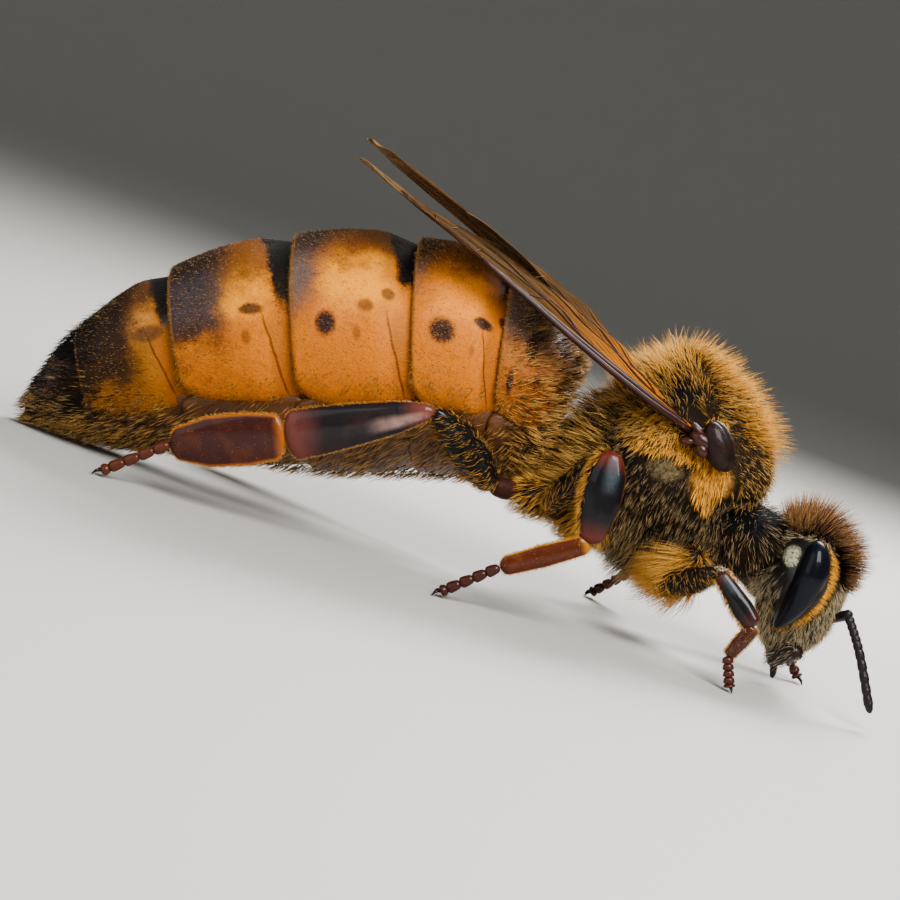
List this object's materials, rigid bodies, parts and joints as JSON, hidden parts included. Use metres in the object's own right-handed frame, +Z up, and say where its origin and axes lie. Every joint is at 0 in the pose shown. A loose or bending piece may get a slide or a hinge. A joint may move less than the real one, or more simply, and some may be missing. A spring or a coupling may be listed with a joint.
{
  "type": "queen honey bee",
  "caption": "Queen honey bee standing still, with a long amber and dark banded abdomen, short folded wings, hairy thorax and head, and a bent feeler.",
  "frame": {"origin": "centre of the footprint of the whole bee, on the ground under its feet", "axes": "+X towards the head along the body, +Y towards the bee's left side, +Z up from the ground"},
  "size_m": [0.02, 0.0076, 0.0088],
  "materials": {
    "fur": "matte golden hair over dark shell",
    "amber_shell": "polished amber, with darker bands",
    "dark_shell": "satin blackish brown",
    "leg_shell": "satin maroon brown",
    "eye": "polished black",
    "wing": "clear, tinted amber"
  },
  "bodies": {
    "root": {"abdomen_1": "amber_shell", "abdomen_2": "amber_shell", "abdomen_3": "amber_shell", "abdomen_4": "amber_shell", "abdomen_5": "dark_shell", "abdomen_6": "dark_shell", "antenna_left_flagellum": "dark_shell", "antenna_left_scape": "dark_shell", "antenna_right_flagellum": "dark_shell", "antenna_right_scape": "dark_shell", "eye_left": "eye", "eye_right": "eye", "forewing_left": "wing", "forewing_right": "wing", "front_leg_left_basitarsus": "leg_shell", "front_leg_left_coxa": "fur", "front_leg_left_femur": "leg_shell", "front_leg_left_tarsus": "leg_shell", "front_leg_left_tibia": "leg_shell", "front_leg_right_basitarsus": "leg_shell", "front_leg_right_coxa": "fur", "front_leg_right_femur": "leg_shell", "front_leg_right_tarsus": "leg_shell", "front_leg_right_tibia": "leg_shell", "head": "fur", "hind_leg_left_basitarsus": "leg_shell", "hind_leg_left_coxa": "fur", "hind_leg_left_femur": "leg_shell", "hind_leg_left_tarsus": "leg_shell", "hind_leg_left_tibia": "leg_shell", "hind_leg_right_basitarsus": "leg_shell", "hind_leg_right_coxa": "fur", "hind_leg_right_femur": "leg_shell", "hind_leg_right_tarsus": "leg_shell", "hind_leg_right_tibia": "leg_shell", "hindwing_left": "wing", "hindwing_right": "wing", "mandible_left": "dark_shell", "mandible_right": "dark_shell", "mid_leg_left_basitarsus": "leg_shell", "mid_leg_left_coxa": "fur", "mid_leg_left_femur": "leg_shell", "mid_leg_left_tarsus": "leg_shell", "mid_leg_left_tibia": "leg_shell", "mid_leg_right_basitarsus": "leg_shell", "mid_leg_right_coxa": "fur", "mid_leg_right_femur": "leg_shell", "mid_leg_right_tarsus": "leg_shell", "mid_leg_right_tibia": "leg_shell", "neck": "dark_shell", "petiole": "dark_shell", "tegula_left": "dark_shell", "tegula_right": "dark_shell", "thorax": "fur", "tongue": "dark_shell"}
  },
  "joints": []
}
